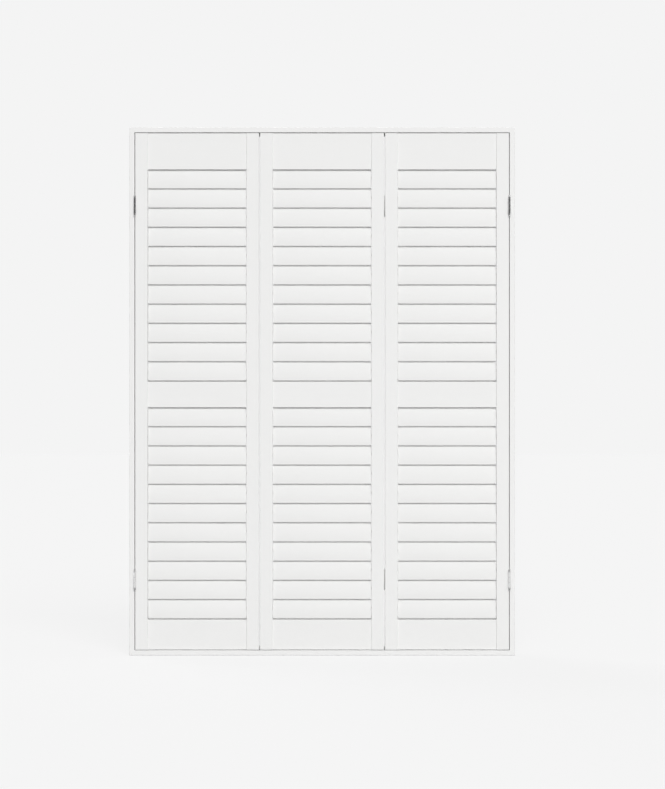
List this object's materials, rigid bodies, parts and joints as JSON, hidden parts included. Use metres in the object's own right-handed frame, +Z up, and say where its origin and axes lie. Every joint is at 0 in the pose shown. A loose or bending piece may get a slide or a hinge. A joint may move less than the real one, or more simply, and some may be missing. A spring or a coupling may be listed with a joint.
{
  "type": "louvred shutters",
  "caption": "White louvred window shutters in a mitred frame: hinged panels with tilting lens-shaped louvres on hidden rear tilt rods, a single panel beside a folding pair.",
  "frame": {"origin": "middle of the frame's underside, below the plane of the louvres' axes", "axes": "+X to the right seen from the room, +Y from the room to the back, +Z up"},
  "size_m": [1.35, 0.0555, 1.85],
  "materials": {
    "white_paint": "satin white paint on wood",
    "hinge_steel": "polished stainless steel",
    "rod_aluminium": "satin anodised"
  },
  "bodies": {
    "frame": {"frame_head": "white_paint", "frame_sill": "white_paint", "frame_left_jamb": "white_paint", "frame_right_jamb": "white_paint", "frame_hinges": "hinge_steel", "catch_magnets": "hinge_steel"},
    "left_panel": {"left_stiles": "white_paint", "left_rails": "white_paint", "left_lower_louvres": "white_paint", "left_lower_tilt_rod": "rod_aluminium", "left_hinge_leaves": "hinge_steel", "left_catch_plates": "hinge_steel"},
    "middle_panel": {"middle_stiles": "white_paint", "middle_rails": "white_paint", "middle_lower_louvres": "white_paint", "middle_lower_tilt_rod": "rod_aluminium", "middle_hinge_leaves": "hinge_steel", "middle_catch_plates": "hinge_steel"},
    "right_panel": {"right_stiles": "white_paint", "right_rails": "white_paint", "right_lower_louvres": "white_paint", "right_lower_tilt_rod": "rod_aluminium", "right_hinge_leaves": "hinge_steel"},
    "left_louvre_6": {"left_louvre_6": "white_paint"},
    "left_louvre_1": {"left_louvre_1": "white_paint"},
    "left_louvre_2": {"left_louvre_2": "white_paint"},
    "left_louvre_3": {"left_louvre_3": "white_paint"},
    "left_louvre_4": {"left_louvre_4": "white_paint"},
    "left_louvre_5": {"left_louvre_5": "white_paint"},
    "left_louvre_7": {"left_louvre_7": "white_paint"},
    "left_louvre_8": {"left_louvre_8": "white_paint"},
    "left_louvre_9": {"left_louvre_9": "white_paint"},
    "left_louvre_10": {"left_louvre_10": "white_paint"},
    "left_louvre_11": {"left_louvre_11": "white_paint"},
    "left_rod": {"left_upper_tilt_rod": "rod_aluminium"},
    "middle_louvre_6": {"middle_louvre_6": "white_paint"},
    "middle_louvre_1": {"middle_louvre_1": "white_paint"},
    "middle_louvre_2": {"middle_louvre_2": "white_paint"},
    "middle_louvre_3": {"middle_louvre_3": "white_paint"},
    "middle_louvre_4": {"middle_louvre_4": "white_paint"},
    "middle_louvre_5": {"middle_louvre_5": "white_paint"},
    "middle_louvre_7": {"middle_louvre_7": "white_paint"},
    "middle_louvre_8": {"middle_louvre_8": "white_paint"},
    "middle_louvre_9": {"middle_louvre_9": "white_paint"},
    "middle_louvre_10": {"middle_louvre_10": "white_paint"},
    "middle_louvre_11": {"middle_louvre_11": "white_paint"},
    "middle_rod": {"middle_upper_tilt_rod": "rod_aluminium"},
    "right_louvre_6": {"right_louvre_6": "white_paint"},
    "right_louvre_1": {"right_louvre_1": "white_paint"},
    "right_louvre_2": {"right_louvre_2": "white_paint"},
    "right_louvre_3": {"right_louvre_3": "white_paint"},
    "right_louvre_4": {"right_louvre_4": "white_paint"},
    "right_louvre_5": {"right_louvre_5": "white_paint"},
    "right_louvre_7": {"right_louvre_7": "white_paint"},
    "right_louvre_8": {"right_louvre_8": "white_paint"},
    "right_louvre_9": {"right_louvre_9": "white_paint"},
    "right_louvre_10": {"right_louvre_10": "white_paint"},
    "right_louvre_11": {"right_louvre_11": "white_paint"},
    "right_rod": {"right_upper_tilt_rod": "rod_aluminium"}
  },
  "joints": [
    {"name": "left_swing", "type": "hinge", "parent": "frame", "child": "left_panel", "pos_m": [-0.656, -0.019, 0.925], "axis": [0, 0, -1], "range_deg": [0, 180]},
    {"name": "right_swing", "type": "hinge", "parent": "frame", "child": "right_panel", "pos_m": [0.656, -0.019, 0.925], "axis": [0, 0, 1], "range_deg": [0, 90]},
    {"name": "middle_fold", "type": "hinge", "parent": "right_panel", "child": "middle_panel", "pos_m": [0.21892, 0.019, 0.925], "axis": [0, 0, -1], "range_deg": [0, 180]},
    {"name": "left_tilt_6", "type": "hinge", "parent": "left_panel", "child": "left_louvre_6", "pos_m": [-0.43783, 0, 1.33662], "axis": [1, 0, 0], "range_deg": [-145, 0]},
    {"name": "left_tilt_1", "type": "hinge", "parent": "left_panel", "child": "left_louvre_1", "pos_m": [-0.43783, 0, 1.67325], "axis": [1, 0, 0], "range_deg": [-145, 0]},
    {"name": "left_tilt_2", "type": "hinge", "parent": "left_panel", "child": "left_louvre_2", "pos_m": [-0.43783, 0, 1.60593], "axis": [1, 0, 0], "range_deg": [-145, 0]},
    {"name": "left_tilt_3", "type": "hinge", "parent": "left_panel", "child": "left_louvre_3", "pos_m": [-0.43783, 0, 1.5386], "axis": [1, 0, 0], "range_deg": [-145, 0]},
    {"name": "left_tilt_4", "type": "hinge", "parent": "left_panel", "child": "left_louvre_4", "pos_m": [-0.43783, 0, 1.47128], "axis": [1, 0, 0], "range_deg": [-145, 0]},
    {"name": "left_tilt_5", "type": "hinge", "parent": "left_panel", "child": "left_louvre_5", "pos_m": [-0.43783, 0, 1.40395], "axis": [1, 0, 0], "range_deg": [-145, 0]},
    {"name": "left_tilt_7", "type": "hinge", "parent": "left_panel", "child": "left_louvre_7", "pos_m": [-0.43783, 0, 1.2693], "axis": [1, 0, 0], "range_deg": [-145, 0]},
    {"name": "left_tilt_8", "type": "hinge", "parent": "left_panel", "child": "left_louvre_8", "pos_m": [-0.43783, 0, 1.20198], "axis": [1, 0, 0], "range_deg": [-145, 0]},
    {"name": "left_tilt_9", "type": "hinge", "parent": "left_panel", "child": "left_louvre_9", "pos_m": [-0.43783, 0, 1.13465], "axis": [1, 0, 0], "range_deg": [-145, 0]},
    {"name": "left_tilt_10", "type": "hinge", "parent": "left_panel", "child": "left_louvre_10", "pos_m": [-0.43783, 0, 1.06733], "axis": [1, 0, 0], "range_deg": [-145, 0]},
    {"name": "left_tilt_11", "type": "hinge", "parent": "left_panel", "child": "left_louvre_11", "pos_m": [-0.43783, 0, 1], "axis": [1, 0, 0], "range_deg": [-145, 0]},
    {"name": "left_rod_pivot", "type": "hinge", "parent": "left_louvre_6", "child": "left_rod", "pos_m": [-0.30667, 0.00748, 1.378], "axis": [1, 0, 0], "range_deg": [0, 145]},
    {"name": "middle_tilt_6", "type": "hinge", "parent": "middle_panel", "child": "middle_louvre_6", "pos_m": [0, 0, 1.33662], "axis": [1, 0, 0], "range_deg": [-145, 0]},
    {"name": "middle_tilt_1", "type": "hinge", "parent": "middle_panel", "child": "middle_louvre_1", "pos_m": [0, 0, 1.67325], "axis": [1, 0, 0], "range_deg": [-145, 0]},
    {"name": "middle_tilt_2", "type": "hinge", "parent": "middle_panel", "child": "middle_louvre_2", "pos_m": [0, 0, 1.60593], "axis": [1, 0, 0], "range_deg": [-145, 0]},
    {"name": "middle_tilt_3", "type": "hinge", "parent": "middle_panel", "child": "middle_louvre_3", "pos_m": [0, 0, 1.5386], "axis": [1, 0, 0], "range_deg": [-145, 0]},
    {"name": "middle_tilt_4", "type": "hinge", "parent": "middle_panel", "child": "middle_louvre_4", "pos_m": [0, 0, 1.47128], "axis": [1, 0, 0], "range_deg": [-145, 0]},
    {"name": "middle_tilt_5", "type": "hinge", "parent": "middle_panel", "child": "middle_louvre_5", "pos_m": [0, 0, 1.40395], "axis": [1, 0, 0], "range_deg": [-145, 0]},
    {"name": "middle_tilt_7", "type": "hinge", "parent": "middle_panel", "child": "middle_louvre_7", "pos_m": [0, 0, 1.2693], "axis": [1, 0, 0], "range_deg": [-145, 0]},
    {"name": "middle_tilt_8", "type": "hinge", "parent": "middle_panel", "child": "middle_louvre_8", "pos_m": [0, 0, 1.20198], "axis": [1, 0, 0], "range_deg": [-145, 0]},
    {"name": "middle_tilt_9", "type": "hinge", "parent": "middle_panel", "child": "middle_louvre_9", "pos_m": [0, 0, 1.13465], "axis": [1, 0, 0], "range_deg": [-145, 0]},
    {"name": "middle_tilt_10", "type": "hinge", "parent": "middle_panel", "child": "middle_louvre_10", "pos_m": [0, 0, 1.06733], "axis": [1, 0, 0], "range_deg": [-145, 0]},
    {"name": "middle_tilt_11", "type": "hinge", "parent": "middle_panel", "child": "middle_louvre_11", "pos_m": [0, 0, 1], "axis": [1, 0, 0], "range_deg": [-145, 0]},
    {"name": "middle_rod_pivot", "type": "hinge", "parent": "middle_louvre_6", "child": "middle_rod", "pos_m": [0.13117, 0.00748, 1.378], "axis": [1, 0, 0], "range_deg": [0, 145]},
    {"name": "right_tilt_6", "type": "hinge", "parent": "right_panel", "child": "right_louvre_6", "pos_m": [0.43783, 0, 1.33662], "axis": [1, 0, 0], "range_deg": [-145, 0]},
    {"name": "right_tilt_1", "type": "hinge", "parent": "right_panel", "child": "right_louvre_1", "pos_m": [0.43783, 0, 1.67325], "axis": [1, 0, 0], "range_deg": [-145, 0]},
    {"name": "right_tilt_2", "type": "hinge", "parent": "right_panel", "child": "right_louvre_2", "pos_m": [0.43783, 0, 1.60593], "axis": [1, 0, 0], "range_deg": [-145, 0]},
    {"name": "right_tilt_3", "type": "hinge", "parent": "right_panel", "child": "right_louvre_3", "pos_m": [0.43783, 0, 1.5386], "axis": [1, 0, 0], "range_deg": [-145, 0]},
    {"name": "right_tilt_4", "type": "hinge", "parent": "right_panel", "child": "right_louvre_4", "pos_m": [0.43783, 0, 1.47128], "axis": [1, 0, 0], "range_deg": [-145, 0]},
    {"name": "right_tilt_5", "type": "hinge", "parent": "right_panel", "child": "right_louvre_5", "pos_m": [0.43783, 0, 1.40395], "axis": [1, 0, 0], "range_deg": [-145, 0]},
    {"name": "right_tilt_7", "type": "hinge", "parent": "right_panel", "child": "right_louvre_7", "pos_m": [0.43783, 0, 1.2693], "axis": [1, 0, 0], "range_deg": [-145, 0]},
    {"name": "right_tilt_8", "type": "hinge", "parent": "right_panel", "child": "right_louvre_8", "pos_m": [0.43783, 0, 1.20198], "axis": [1, 0, 0], "range_deg": [-145, 0]},
    {"name": "right_tilt_9", "type": "hinge", "parent": "right_panel", "child": "right_louvre_9", "pos_m": [0.43783, 0, 1.13465], "axis": [1, 0, 0], "range_deg": [-145, 0]},
    {"name": "right_tilt_10", "type": "hinge", "parent": "right_panel", "child": "right_louvre_10", "pos_m": [0.43783, 0, 1.06733], "axis": [1, 0, 0], "range_deg": [-145, 0]},
    {"name": "right_tilt_11", "type": "hinge", "parent": "right_panel", "child": "right_louvre_11", "pos_m": [0.43783, 0, 1], "axis": [1, 0, 0], "range_deg": [-145, 0]},
    {"name": "right_rod_pivot", "type": "hinge", "parent": "right_louvre_6", "child": "right_rod", "pos_m": [0.569, 0.00748, 1.378], "axis": [1, 0, 0], "range_deg": [0, 145]}
  ],
  "couplings": [
    {"joint": "middle_fold", "follows": "right_swing", "ratio": 2},
    {"joint": "left_tilt_1", "follows": "left_tilt_6", "ratio": 1},
    {"joint": "left_tilt_2", "follows": "left_tilt_6", "ratio": 1},
    {"joint": "left_tilt_3", "follows": "left_tilt_6", "ratio": 1},
    {"joint": "left_tilt_4", "follows": "left_tilt_6", "ratio": 1},
    {"joint": "left_tilt_5", "follows": "left_tilt_6", "ratio": 1},
    {"joint": "left_tilt_7", "follows": "left_tilt_6", "ratio": 1},
    {"joint": "left_tilt_8", "follows": "left_tilt_6", "ratio": 1},
    {"joint": "left_tilt_9", "follows": "left_tilt_6", "ratio": 1},
    {"joint": "left_tilt_10", "follows": "left_tilt_6", "ratio": 1},
    {"joint": "left_tilt_11", "follows": "left_tilt_6", "ratio": 1},
    {"joint": "left_rod_pivot", "follows": "left_tilt_6", "ratio": -1},
    {"joint": "middle_tilt_1", "follows": "middle_tilt_6", "ratio": 1},
    {"joint": "middle_tilt_2", "follows": "middle_tilt_6", "ratio": 1},
    {"joint": "middle_tilt_3", "follows": "middle_tilt_6", "ratio": 1},
    {"joint": "middle_tilt_4", "follows": "middle_tilt_6", "ratio": 1},
    {"joint": "middle_tilt_5", "follows": "middle_tilt_6", "ratio": 1},
    {"joint": "middle_tilt_7", "follows": "middle_tilt_6", "ratio": 1},
    {"joint": "middle_tilt_8", "follows": "middle_tilt_6", "ratio": 1},
    {"joint": "middle_tilt_9", "follows": "middle_tilt_6", "ratio": 1},
    {"joint": "middle_tilt_10", "follows": "middle_tilt_6", "ratio": 1},
    {"joint": "middle_tilt_11", "follows": "middle_tilt_6", "ratio": 1},
    {"joint": "middle_rod_pivot", "follows": "middle_tilt_6", "ratio": -1},
    {"joint": "right_tilt_1", "follows": "right_tilt_6", "ratio": 1},
    {"joint": "right_tilt_2", "follows": "right_tilt_6", "ratio": 1},
    {"joint": "right_tilt_3", "follows": "right_tilt_6", "ratio": 1},
    {"joint": "right_tilt_4", "follows": "right_tilt_6", "ratio": 1},
    {"joint": "right_tilt_5", "follows": "right_tilt_6", "ratio": 1},
    {"joint": "right_tilt_7", "follows": "right_tilt_6", "ratio": 1},
    {"joint": "right_tilt_8", "follows": "right_tilt_6", "ratio": 1},
    {"joint": "right_tilt_9", "follows": "right_tilt_6", "ratio": 1},
    {"joint": "right_tilt_10", "follows": "right_tilt_6", "ratio": 1},
    {"joint": "right_tilt_11", "follows": "right_tilt_6", "ratio": 1},
    {"joint": "right_rod_pivot", "follows": "right_tilt_6", "ratio": -1}
  ]
}
